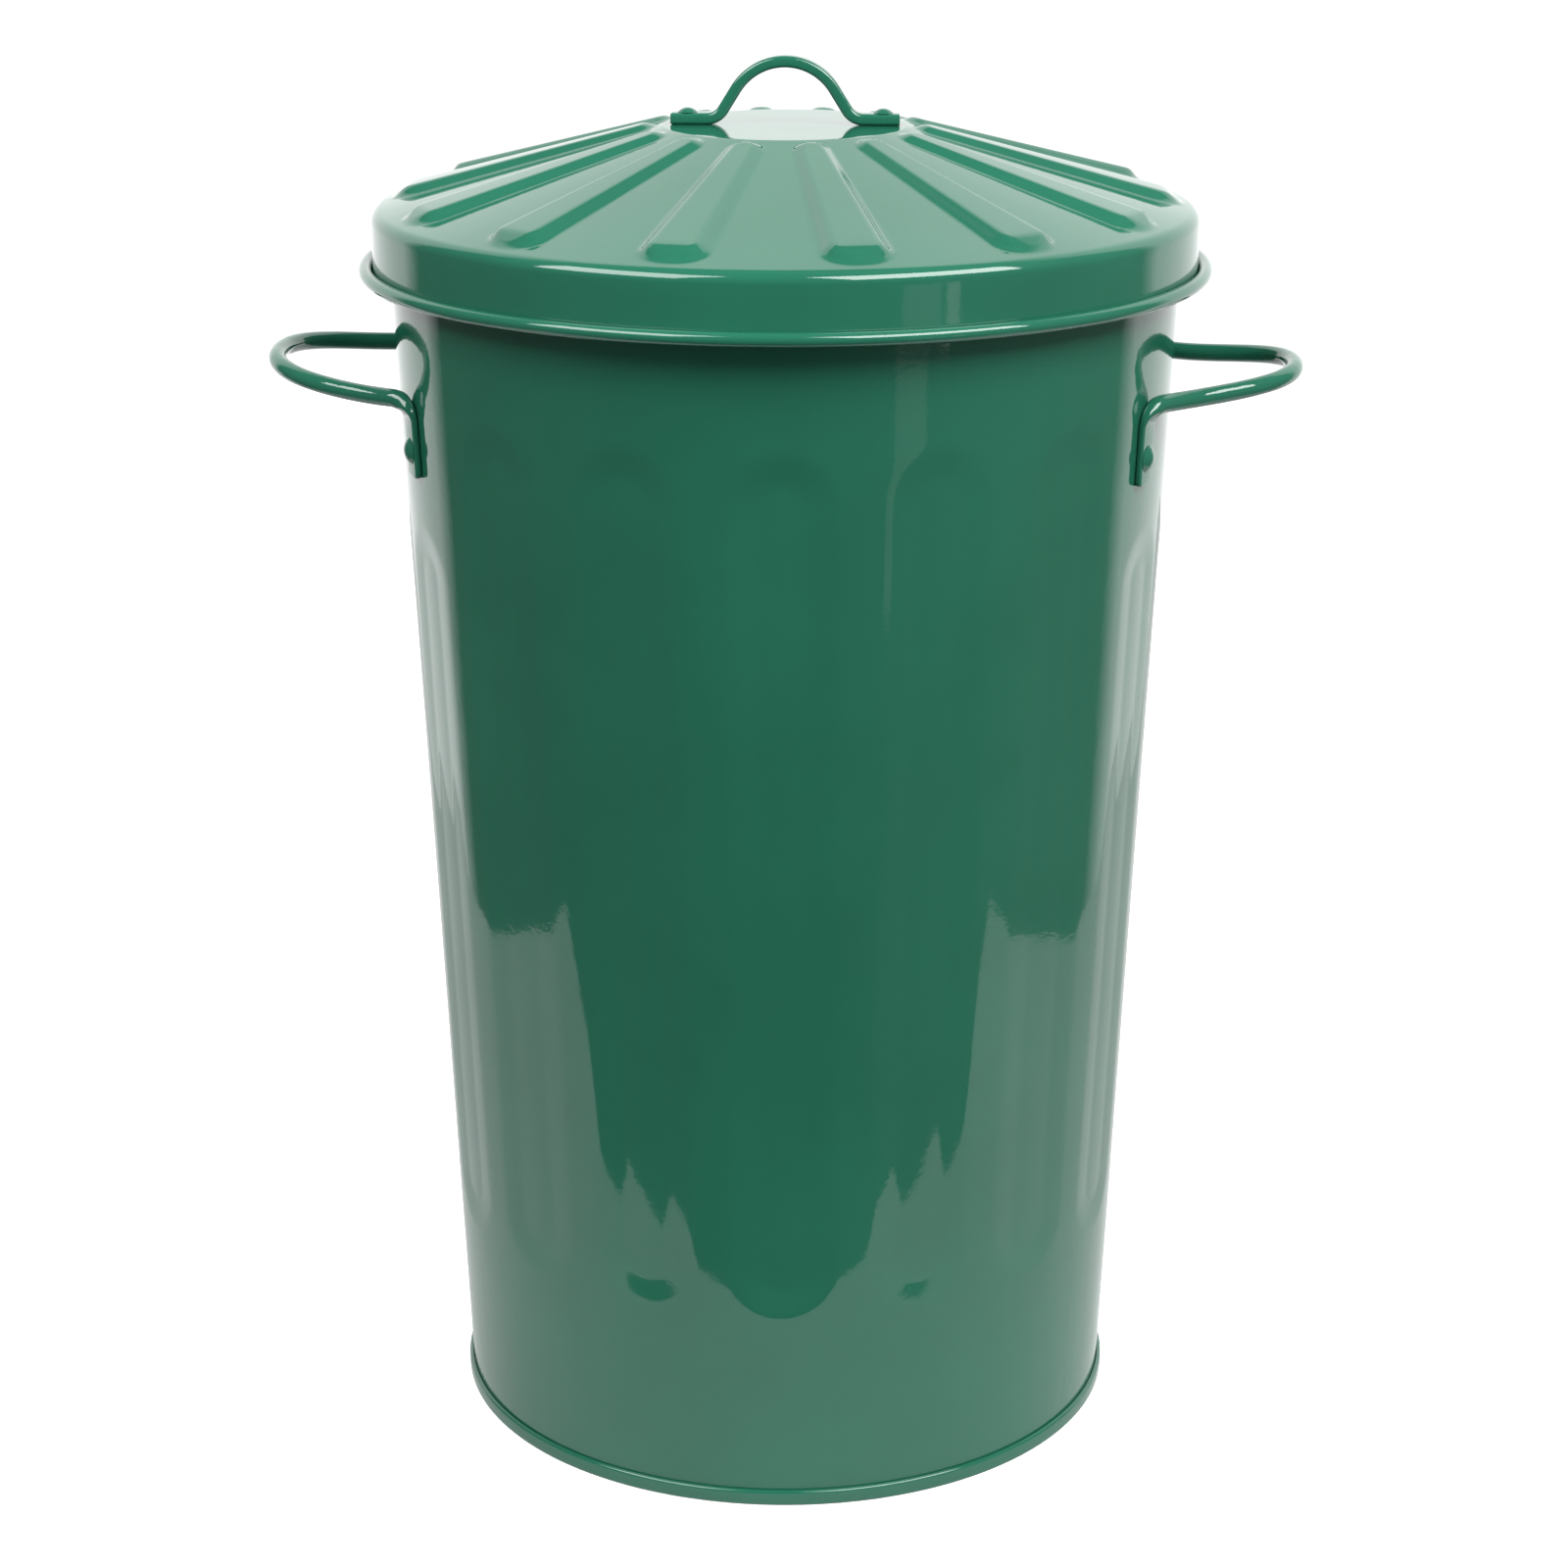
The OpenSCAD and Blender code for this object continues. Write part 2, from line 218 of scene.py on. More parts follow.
def enamel(name, green, wave_size, wave_depth, peel_size, peel_depth):
    """Gloss enamel of one green, with the wave of its sheet and the peel of its skin."""
    material = bpy.data.materials.new(name)
    material.use_nodes = True
    tree = material.node_tree
    shader = tree.nodes["Principled BSDF"]
    place = tree.nodes.new("ShaderNodeTexCoord").outputs["Object"]

    tone = tree.nodes.new("ShaderNodeMix")
    tone.data_type = "RGBA"
    tone.inputs["A"].default_value = (*[darker * part for part in green], 1)
    tone.inputs["B"].default_value = (*[lighter * part for part in green], 1)
    tree.links.new(spread(tree, noise(tree, place, tone_size, 4), 0, 1), tone.inputs["Factor"])
    tree.links.new(tone.outputs["Result"], shader.inputs["Base Color"])

    gloss = spread(tree, noise(tree, place, gloss_size, 5, 0.6), *gloss_roughness)
    tree.links.new(gloss, shader.inputs["Roughness"])
    shader.inputs["IOR"].default_value = paint_ior

    wave = bump(tree, noise(tree, place, wave_size, 1), wave_depth)
    sag = bump(tree, noise(tree, place, wave_size / 5, 1), wave_depth / 6, wave)
    peel = bump(tree, noise(tree, place, peel_size, 2), peel_depth, sag)
    grains = bump(tree, dust(tree, place, dust_spacing, dust_grain), dust_height, peel)
    tree.links.new(grains, shader.inputs["Normal"])
    return material


print("the paint's roughness goes from", gloss_roughness[0], "to", gloss_roughness[1])

# %% The four finishes
finishes = {
    "enamel_body": enamel("gloss_enamel_wall", (0.0118, 0.094, 0.057),
                          70 * MM, 0.25 * MM, 2.2 * MM, 0.016 * MM),
    "enamel_lid": enamel("gloss_enamel_lid", (0.0128, 0.100, 0.061),
                         60 * MM, 0.14 * MM, 2.2 * MM, 0.014 * MM),
    "enamel_handles": enamel("gloss_enamel_rod_and_strap", (0.013, 0.102, 0.062),
                             12 * MM, 0.20 * MM, 2.4 * MM, 0.012 * MM),
    "enamel_rivets": enamel("gloss_enamel_rivets", (0.0125, 0.098, 0.060),
                            8 * MM, 0.15 * MM, 2 * MM, 0.012 * MM),
}
print("finishes:", ", ".join(finishes))

# %% [markdown]
# ## Meshes of turned sheet
#
# The wall, the base and the lid are each a thin sheet whose section is turned about the bin's
# axis. So the section is drawn first, as the middle line of the sheet, and then made into a
# closed outline with the sheet's real thickness. Turning that outline in numpy gives a clean
# grid of quads, and a small function may push the grid's points in or out where a pressing is.
# A Screw modifier could turn the outline too, but it couldn't press flutes or ribs into it.


# %% Sections of sheet
def arc(centre, radius, start, stop, steps):
    """Points of an arc in the plane of radius and height, with its angles in degrees."""
    turns = np.radians(np.linspace(start, stop, steps + 1))
    return [(centre[0] + radius * cos(t), centre[1] + radius * sin(t)) for t in turns]


def beside(line, distance):
    """The line moved to its left by the distance, mitred at its corners."""
    line = np.array(line)
    steps = np.diff(line, axis=0)
    steps /= np.linalg.norm(steps, axis=1)[:, None]
    lefts = np.stack([-steps[:, 1], steps[:, 0]], axis=1)
    before = np.vstack([lefts[:1], lefts])
    after = np.vstack([lefts, lefts[-1:]])
    middle = before + after
    middle /= np.linalg.norm(middle, axis=1)[:, None]
    return line + distance * middle / np.sum(middle * before, axis=1)[:, None]


def sheet_outline(line, coarse_side):
    """Outline of the sheet round its middle line, anticlockwise. The coarse side, which is the
    one that is seldom seen, keeps every second point."""
    right = beside(line, -sheet / 2)
    left = beside(line, sheet / 2)
    keep = sorted(set(range(0, len(line), 2)) | {len(line) - 1})
    if coarse_side == "left":
        left = left[keep]
    else:
        right = right[keep]
    return np.vstack([right, left[::-1]])


print("a quarter arc in 6 steps has", len(arc((0, 0), 1, 0, 90, 6)), "points")


# %% Mesh helpers
sharp_bend = radians(35)


def mesh_object(name, points, faces):
    """An object with smooth faces, and with sharp edges where they meet at a sharp bend."""
    faces = np.array(faces)
    used, compact = np.unique(faces, return_inverse=True)
    corners = [tuple(dict.fromkeys(face)) for face in compact.reshape(faces.shape).tolist()]
    mesh = bpy.data.meshes.new(name)
    mesh.from_pydata(np.array(points)[used].tolist(), [], [c for c in corners if len(c) > 2])
    mesh.polygons.foreach_set("use_smooth", [True] * len(mesh.polygons))
    mesh.set_sharp_from_angle(angle=sharp_bend)
    made = bpy.data.objects.new(name, mesh)
    bpy.context.collection.objects.link(made)
    return made


def grid_faces(columns, rows, closed_rows):
    """Quads between neighbouring columns of points, with the last column next to the first."""
    column, row = np.meshgrid(np.arange(columns), np.arange(rows if closed_rows else rows - 1),
                              indexing="ij")
    here = column * rows
    there = (column + 1) % columns * rows
    above = (row + 1) % rows
    return np.stack([here + row, there + row, there + above, here + above], axis=-1).reshape(-1, 4)


print("a closed grid of 8 columns and 4 rows has", len(grid_faces(8, 4, True)), "quads")


# %% Turning and pressing
def turned(name, outline, columns, press=None):
    """The outline turned about the Z axis. press reads the grid's angles, and moves its radii and
    heights.
    """
    outline = np.array(outline)
    rows = len(outline)
    turn, radius = np.meshgrid(np.arange(columns) * 2 * pi / columns, outline[:, 0],
                               indexing="ij")
    height = np.broadcast_to(outline[:, 1], turn.shape)
    if press is not None:
        radius, height = press(turn, radius, height)
    points = np.stack([radius * np.cos(turn), radius * np.sin(turn), height], axis=-1)
    on_axis = outline[0, 0] == 0
    faces = grid_faces(columns, rows, not on_axis)
    if on_axis:
        for pole in np.flatnonzero(outline[:, 0] == 0):
            faces[faces % rows == pole] = pole
    return mesh_object(name, points.reshape(-1, 3), faces)


def ramp(depth, width, ease):
    """From 0 at the edge of a pressing to 1 at its full depth. ease is the share of the width
    that each of the two bends takes."""
    t = np.clip(depth / width, 0, 1)
    steep = 1 / (1 - ease)
    start = steep * t * t / (2 * ease)
    middle = steep * (t - ease / 2)
    end = 1 - steep * (1 - t) ** 2 / (2 * ease)
    return np.where(t < ease, start, np.where(t > 1 - ease, end, middle))


print("half way down its side a pressing is", float(ramp(0.5, 1, 0.3)), "of its full depth")


# %% Settling a piece in the frame
def settle(piece, body, nodes, slot):
    """Gives a piece its finish and its body, and prints how far it strays from its nodes."""
    piece.data.materials.append(finishes[slot])
    boxes = [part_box(node) for node in nodes]
    low = np.min([b[0] for b in boxes], axis=0)
    high = np.max([b[1] for b in boxes], axis=0)
    points = np.array([v.co for v in piece.data.vertices])
    strays = max(np.abs(points.min(axis=0) - low).max(), np.abs(points.max(axis=0) - high).max())
    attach(piece, body)
    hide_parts(*nodes)
    print(piece.name, len(piece.data.polygons), "faces, box within",
          round(strays / MM, 2), "mm of the frame's")


# %% [markdown]
# ## The wall
#
# The real wall is one sheet: sixteen upright flutes are pressed into it while it is flat, it is
# rolled into a slightly conical tube, and its edges are joined by a folded lock seam. The mouth
# is then curled outward into a bead, and the foot is turned out to be caught in the base seam.
# The flutes are shallow dishes with long soft sides. A displacement image or a boolean could
# sink them too, but an image would need unwrapping and a boolean leaves hard edges. So each one
# is worked out as a distance from the edge of a long slot, and the wall sinks smoothly with that
# distance. The flutes below the handles stop short, to leave flat metal for the rivets. Rows of
# points lie close together only where a flute ends, since between its ends the wall is straight.

# %% Flutes and lock seam
flute_side = 15.5 * MM
flute_ease = 0.22
flute_pitch = 2 * pi / flute_count
first_flute = flute_turn + pi / 2
seam_turn = first_flute + flute_pitch / 2
lock_seam_width = 7 * MM
lock_seam_rise = 0.7 * MM
lock_seam_side = 2.5 * MM
lock_seam_ease = 0.4
fade_below_bead = 6 * MM
fade_above_base = 4 * MM


def turned_apart(a, b):
    """The smaller angle from b to a, with its sign."""
    return (a - b + pi) % (2 * pi) - pi


def press_wall(turn, radius, height):
    """Sinks the flutes into the wall, and raises the lock seam at the back."""
    outer = wall_radius(height)
    number = np.round((turn - first_flute) / flute_pitch)
    centre = first_flute + number * flute_pitch
    across = outer * turned_apart(turn, centre)
    off_handles = np.abs(np.arcsin(np.sin(centre)))
    high = np.where(off_handles < tab_turn + flute_pitch / 4, short_flute_high, flute_high)
    middle = np.clip(height, flute_low + flute_width / 2, high - flute_width / 2)
    inside = flute_width / 2 - np.hypot(across, height - middle)
    sink = flute_depth * ramp(inside, flute_side, flute_ease)

    on_wall = np.clip((mouth_height - 3 * bead_radius - height) / fade_below_bead, 0, 1)
    on_wall = on_wall * np.clip((height - seam_height) / fade_above_base, 0, 1)
    inside = lock_seam_width / 2 - np.abs(outer * turned_apart(turn, seam_turn))
    rise = lock_seam_rise * ramp(inside, lock_seam_side, lock_seam_ease) * on_wall
    return radius - sink + rise, height + wall_growth * sink


print(flute_count, "flutes,", round(degrees(flute_pitch), 1), "degrees apart, the lock seam at",
      round(degrees(seam_turn), 1), "degrees")


# %% Wall
def rows(low, high, step):
    """Evenly spaced heights from low to high, about step apart, without high itself."""
    return list(np.linspace(low, high, max(1, round((high - low) / step)) + 1)[:-1])


seam_gap = 0.1 * MM
foot_height = 1.5 * sheet + seam_gap
bead_centre = (wall_radius(mouth_height) - sheet + bead_radius, mouth_height)
bead_end_degrees = -108
flute_end = flute_width / 2 + 1 * MM
row_bands = [foot_height, seam_height + 5 * MM,
             flute_low - 1 * MM, flute_low + flute_end,
             short_flute_high - flute_end, short_flute_high + 1 * MM,
             flute_high - flute_end, flute_high + 1 * MM, mouth_height]
row_steps = [3, 16, 1.6, 18, 1.6, 6, 1.6, 9]  # millimetres between rows in each band
heights = [z for low, high, step in zip(row_bands, row_bands[1:], row_steps)
           for z in rows(low, high, step * MM)]
wall_line = ([(seam_radius - sheet - seam_gap, foot_height)]
             + [(wall_radius(z) - sheet / 2, z) for z in heights]
             + arc(bead_centre, bead_radius - sheet / 2, 180, bead_end_degrees, 22))
wall_columns = 36 * flute_count
wall = turned("fluted_wall", sheet_outline(wall_line, "left"), wall_columns, press_wall)
settle(wall, "bin", ["body_shell"], "enamel_body")

# %% [markdown]
# ## The base
#
# The base is a pressed pan. Its rim runs down inside the wall, out under the turned edge, up
# and over it, and is rolled tight: a double seam, as on a food can. The seam is the ring that
# the bin stands on. Only its outside is ever seen, and its corners are rolled round. A Bevel
# modifier could round them, but here they are small arcs in the outline, because each has its
# own radius.

# %% Base pan
pan_above_floor = 7 * MM
pan_height = pan_above_floor - sheet / 2
pan_radius = wall_foot_radius - 1.5 * sheet - 0.05 * MM
pan_edge = pan_radius - 3 * MM
pan_bend = 1.5 * MM
foot_bend_radius = 0.5 * MM
seam_middle = seam_radius - sheet / 2
roll = 1.1 * MM
lip = 0.9 * MM
pan_line = ([(0, pan_height), (0.5 * pan_radius, pan_height), (pan_edge, pan_height)]
            + arc((pan_radius - pan_bend, pan_height - pan_bend), pan_bend, 90, 0, 5)
            + arc((pan_radius + foot_bend_radius, sheet / 2 + foot_bend_radius),
                  foot_bend_radius, 180, 270, 4)
            + arc((seam_middle - roll, sheet / 2 + roll), roll, 270, 360, 6)
            + arc((seam_middle - roll, seam_height - sheet / 2 - roll), roll, 0, 90, 6)
            + [(seam_middle - sheet / 2 - lip, seam_height - sheet / 2)])
base_columns = 400
base = turned("seamed_base", sheet_outline(pan_line, "left"), base_columns)
settle(base, "bin", ["base_pan"], "enamel_body")

# %% [markdown]
# ## The lid
#
# The lid is pressed from one disc: a flat middle for the handle, a shallow cone with fourteen
# raised ribs that stiffen it, a rounded shoulder and a short upright skirt. Its edge is curled
# out and round into a rim that is kind to fingers. A rib has a flat top and sloping sides, and
# it is wider and higher at its outer end, where it runs out in a longer slope. Separate rib
# meshes joined to a plain cone would leave creases, so a rib is worked out as a distance from
# the edge of a tapered slot, in the same way as a flute, and it lifts the sheet square to the
# cone.

# %% Cone and ribs
disc_radius = 51.2 * MM
disc_height = 568.9 * MM
cone_slope = radians(15.3)
rib_count = 14
rib_rise_in = 2.4 * MM
rib_rise_out = 3.7 * MM
rib_side = 5.4 * MM
rib_side_ease = 0.22
rib_end_slope = 12 * MM
rib_end_ease = 0.3
rib_out = (154.6 * MM, 14.4 * MM)
rib_in = (62.4 * MM, 8.7 * MM)


def cone_height(radius):
    """Height of the lid's outer face on the cone."""
    return disc_height - tan(cone_slope) * (radius - disc_radius)


def inside_rib(along, across):
    """Depth inside a rib's outline: a round end at rib_out, a smaller one at rib_in, and the
    straight sides that touch both. Each end is given as its distance from the axis and its
    radius. The depth is negative outside."""
    length = rib_out[0] - rib_in[0]
    along = along - rib_in[0]
    across = np.abs(across)
    lean = (rib_in[1] - rib_out[1]) / length
    square = (1 - lean * lean) ** 0.5
    place = square * along - lean * across
    from_in = np.hypot(across, along) - rib_in[1]
    from_out = np.hypot(across, along - length) - rib_out[1]
    from_side = square * across + lean * along - rib_in[1]
    return -np.where(place < 0, from_in, np.where(place > square * length, from_out, from_side))


def press_lid(turn, radius, height):
    """Raises the ribs from the cone, with the first ones half a pitch from the front."""
    pitch = 2 * pi / rib_count
    apart = turned_apart(turn, -pi / 2 + pitch / 2)
    apart = apart - pitch * np.round(apart / pitch)
    along = radius * np.cos(apart)
    inside = inside_rib(along, radius * np.sin(apart))
    from_end = rib_out[0] + rib_out[1] - along
    way_out = np.clip((radius - rib_in[0]) / (rib_out[0] - rib_in[0]), 0, 1)
    full_rise = rib_rise_in + (rib_rise_out - rib_rise_in) * way_out
    rise = (full_rise * ramp(inside, rib_side, rib_side_ease)
            * ramp(from_end, rib_end_slope, rib_end_ease))
    return radius + rise * sin(cone_slope), height + rise * cos(cone_slope)


print(rib_count, "ribs, from", round((rib_in[0] - rib_in[1]) / MM, 1), "to",
      round((rib_out[0] + rib_out[1]) / MM, 1), "mm from the axis")

# %% Lid
skirt_radius = 174 * MM
shoulder = 5.5 * MM
disc_bend = 4 * MM
shoulder_at = skirt_radius - shoulder
shoulder_centre = (shoulder_at, cone_height(shoulder_at) - shoulder / cos(cone_slope))
curl = rim_roll - sheet / 2
curl_centre = (rim_radius - rim_roll, rim_height)
rim_end_degrees = 560
turn_out = (skirt_radius - sheet / 2 + curl, rim_height)
bend_half = disc_bend * tan(cone_slope / 2)
middle_height = disc_height - sheet / 2
cone_start = disc_radius + bend_half * cos(cone_slope)
cone_end = shoulder_at + shoulder * sin(cone_slope)
inner_rib_ends, outer_rib_ends = 66 * MM, 142 * MM
cone_radii = (rows(cone_start, inner_rib_ends, 1.3 * MM)
              + rows(inner_rib_ends, outer_rib_ends, 2.4 * MM)
              + rows(outer_rib_ends, cone_end, 1.2 * MM))[1:]
lid_line = ([(0, middle_height)] + [(r * MM, middle_height) for r in (12, 24, 36, 44, 48)]
            + arc((disc_radius - bend_half, middle_height - disc_bend), disc_bend,
                  90, 90 - degrees(cone_slope), 3)
            + [(r, cone_height(r) - sheet / 2 / cos(cone_slope)) for r in cone_radii]
            + arc(shoulder_centre, shoulder - sheet / 2, 90 - degrees(cone_slope), 0, 9)
            + [(skirt_radius - sheet / 2, rim_height + rise * MM) for rise in (15, 7)]
            + arc(turn_out, curl, 180, 270, 6)
            + arc(curl_centre, curl, 270, rim_end_degrees, 20))
lid_columns = 40 * rib_count
lid = turned("ribbed_lid", sheet_outline(lid_line, "right"), lid_columns, press_lid)
settle(lid, "lid", ["lid_shell"], "enamel_lid")

# %% [markdown]
# ## Bent bar
#
# The handles are bent bar: a flat strap on the lid, and round rod, hammered flat at its ends, on
# the sides. A curve with a bevel would make a bent round rod, but its section can't change from
# round to flat along the way. So a section, which is a rectangle with rounded corners, is swept
# along a path: its half width, half thickness and corner radius are given at every point.


# %% Sweeping helpers
def corner_section(half_width, half_thickness, corner, steps=6):
    """Points round a rounded rectangle, as pairs across and through the bar."""
    turns = np.radians(np.linspace(0, 90, steps + 1))
    section = []
    for quarter, (side, up) in enumerate([(1, 1), (-1, 1), (-1, -1), (1, -1)]):
        for turn in turns + quarter * pi / 2:
            section.append((side * (half_width - corner) + corner * cos(turn),
                            up * (half_thickness - corner) + corner * sin(turn)))
    return section


def swept(name, centres, across, sections):
    """Sections swept along the centres. across points along each section's width."""
    centres, across = np.array(centres), np.array(across)
    along = np.gradient(centres, axis=0)
    along /= np.linalg.norm(along, axis=1)[:, None]
    across = across - along * np.sum(across * along, axis=1)[:, None]
    across /= np.linalg.norm(across, axis=1)[:, None]
    through = np.cross(along, across)
    rings = []
    for centre, wide, up, section in zip(centres, across, through, sections):
        sideways, upwards = zip(*section)
        rings.append(centre + np.outer(sideways, wide) + np.outer(upwards, up))
    count, size = len(rings), len(sections[0])
    faces = [(r * size + s, r * size + (s + 1) % size, (r + 1) * size + (s + 1) % size,
              (r + 1) * size + s) for r in range(count - 1) for s in range(size)]
    first = len(faces)
    points = np.vstack(rings + [centres[:1], centres[-1:]])
    near, far = count * size, count * size + 1
    faces += [((s + 1) % size, s, near, near) for s in range(size)]
    last = (count - 1) * size
    faces += [(last + s, last + (s + 1) % size, far, far) for s in range(size)]
    print(name, "has", first, "faces along its length")
    return mesh_object(name, points, faces)


def eased(start, stop, share):
    """A smooth change from start to stop as share goes from 0 to 1."""
    t = min(max(share, 0), 1)
    return start + (stop - start) * t * t * (3 - 2 * t)


print("a section of bar has", len(corner_section(2, 1, 0.5)), "points")

# %% [markdown]
# ## The lid handle
#
# A short length of flat bar is bent over a former into an arch with two feet, and each foot is
# held down by one domed rivet. Its edges are rounded by the mill and by the paint. A drawn curve
# could be its path, but a former bends bar in true arcs: so the path is an arch, two straight
# slopes, two bends the other way and the flat feet.

# %% Strap handle
strap_thick = 4.8 * MM
strap_corner = 1.5 * MM
end_rounding = 0.4 * MM
arch_radius = 24.3 * MM
arch_height = disc_height + 1.9 * MM
strap_slope = 58
foot_bend = 8 * MM
foot_height_on_lid = disc_height + strap_thick / 2 + 0.05 * MM
slope = radians(strap_slope)
arch_end = (arch_radius * sin(slope), arch_height + arch_radius * cos(slope))
leg_drop = arch_end[1] - foot_height_on_lid - foot_bend * (1 - cos(slope))
bend_centre = (arch_end[0] + leg_drop / tan(slope) + foot_bend * sin(slope),
               foot_height_on_lid + foot_bend)
half_strap = (arc((0, arch_height), arch_radius, 90, 90 - strap_slope, 20)
              + arc(bend_centre, foot_bend, 270 - strap_slope, 270, 12)
              + [(strap_half_length - 6 * MM, foot_height_on_lid),
                 (strap_half_length - 0.5 * MM, foot_height_on_lid),
                 (strap_half_length, foot_height_on_lid)])
strap_line = [(-x, z) for x, z in half_strap[:0:-1]] + half_strap
shrinks = [end_rounding] + [0] * (len(strap_line) - 2) + [end_rounding]
strap = swept("strap_handle", [(x, 0, z) for x, z in strap_line], [(0, 1, 0)] * len(strap_line),
              [corner_section(strap_half_width - less, strap_thick / 2 - less, strap_corner - less)
               for less in shrinks])
settle(strap, "lid", ["lid_handle"], "enamel_handles")

# %% [markdown]
# ## The side handles
#
# Each is one rod bent to an open loop. Its legs spread a little towards the wall, turn down
# sharply against it, and are hammered flat and riveted there. The loop slopes up a little, and
# the two of them were bent by hand, so they aren't quite alike. A cubic curve suits such a bend:
# its four guide points are the loop's tip, two points that pull the curve, and the knee at the
# wall. Below the knee the round section widens and thins to a flat tab, square to the wall.
# Only half of the path is worked out: the other half is its mirror image.

# %% Sizes of the rod and its tabs
rod = 7.6 * MM
tab_half_width = 6 * MM
tab_half_thick = 1.4 * MM
tab_corner = 1.1 * MM
tab_gap = 0.05 * MM
tab_rounding = 2.4 * MM
rivet_height = 443 * MM
tab_low = rivet_height - 11.2 * MM
bend_reach = 8.5 * MM
bend_pull = 0.72
knee_clearance = 1.7 * MM
foot_radius = wall_radius(455 * MM) + tab_half_thick + knee_clearance
foot = (foot_radius * cos(tab_turn), foot_radius * sin(tab_turn))
print("rod", round(rod / MM, 1), "mm, tab", round(2 * tab_half_width / MM, 1), "by",
      round(2 * tab_half_thick / MM, 1), "mm")

# %% [markdown]
# The section is given at every point of the path too. It stays round along the loop, and in the
# bend its half width, half thickness and corner radius each change smoothly to those of the tab.
# The tab's lower end is rounded in the same way. A round rod and a flat tab could be two meshes
# pushed together, but then the hammered change from one to the other would be missing.


# %% Half of a rod
def cubic(guides, steps):
    """Points of the cubic curve that four points guide, without the first of them."""
    a, b, c, d = guides
    return [(1 - t) ** 3 * a + 3 * (1 - t) ** 2 * t * b + 3 * (1 - t) * t * t * c + t ** 3 * d
            for t in np.linspace(0, 1, steps + 1)[1:].tolist()]


def on_tab(z):
    """Middle of the tab at height z."""
    out = wall_radius(z) + tab_gap + tab_half_thick
    return Vector((out * cos(tab_turn), out * sin(tab_turn), z))


def half_rod(tip, pull_tip, pull_knee, knee_height):
    """Centres, widths across and sections of a rod from its loop's tip to its tab's end. The
    guide points and the height of the bend's knee are in millimetres."""
    tip, pull_tip, pull_knee = (Vector(p) * MM for p in (tip, pull_tip, pull_knee))
    knee = Vector((*foot, knee_height * MM))
    bend_start = knee + bend_reach * (pull_knee - knee).normalized()
    bend_end = on_tab(knee.z - bend_reach)
    loop = [tip] + cubic((tip, pull_tip, pull_knee, bend_start), 36)
    bend = cubic((bend_start, bend_start.lerp(knee, bend_pull),
                  bend_end.lerp(knee, bend_pull), bend_end), 20)
    tab_heights = list(np.linspace(bend_end.z, tab_low + tab_rounding, 6)[1:])
    tab_heights += [tab_low + drop * MM for drop in (1.6, 0.9, 0.4, 0)]

    steps = [loop[1] - loop[0]] + [b - a for a, b in zip(loop, loop[1:])]
    widths = [(step.y, -step.x, 0) for step in steps]
    widths += [(-sin(tab_turn), cos(tab_turn), 0)] * (len(bend) + len(tab_heights))

    flat_left = 0.01 * MM
    sections = [corner_section(rod / 2, rod / 2, rod / 2 - flat_left)] * len(loop)
    for share in np.linspace(0, 1, len(bend) + 1)[1:]:
        half_wide = eased(rod / 2, tab_half_width, (share - 0.35) / 0.65)
        half_thick = eased(rod / 2, tab_half_thick, (share - 0.30) / 0.70)
        corner = eased(rod / 2 - flat_left, tab_corner, (share - 0.30) / 0.55)
        corner = min(corner, half_thick - flat_left)
        sections.append(corner_section(half_wide, half_thick, corner))
    for z in tab_heights:
        near_end = max(0, tab_rounding - (z - tab_low)) / tab_rounding
        narrower = 2.0 * MM * (1 - (1 - near_end ** 2) ** 0.5)
        thinner = 0.25 * MM if z == tab_heights[-1] else 0
        sections.append(corner_section(tab_half_width - narrower, tab_half_thick - thinner,
                                       tab_corner - thinner))
    return [tuple(p) for p in loop + bend + [on_tab(z) for z in tab_heights]], widths, sections


print("the tab's middle is", round(hypot(*on_tab(rivet_height).xy) / MM, 1),
      "mm from the axis at the rivet")


# %% Side handles
def side_handle(name, node, side, *guides):
    """A whole side handle, from its half and the mirror image of that half. side is 1 for the
    right and -1 for the left."""
    centres, widths, sections = half_rod(*guides)
    whole = [[(x, -y, z) for x, y, z in half[:0:-1]] + list(half) for half in (centres, widths)]
    centres, widths = ([(side * x, side * y, z) for x, y, z in line] for line in whole)
    made = swept(name, centres, widths, sections[:0:-1] + sections)
    settle(made, "bin", [node], "enamel_handles")


side_handle("loop_handle_right", "side_handle_right", 1,
            (216.3, 0, 469.5), (216.3, 41, 469.3), (180, 39, 463.6), 465)
side_handle("loop_handle_left", "side_handle_left", -1,
            (217.5, 0, 471.2), (217.5, 45, 471), (186, 50, 463.8), 464.5)

# %% [markdown]
# ## Rivets
#
# A solid rivet is pushed through the tab and the sheet, and its tail is hammered flat inside.
# The head is a low dome with a small rounded edge. A squashed sphere would do for the head from
# far away, but it has no shank, tail or edge. So each rivet is turned from its outline, as on a
# lathe, and then laid along the line that it was driven in.


# %% Rivet helper
rivet_columns = 48
head_gap = 0.02 * MM
side_head = (5.6 * MM, 2.6 * MM)
lid_head = (4.2 * MM, 2 * MM)


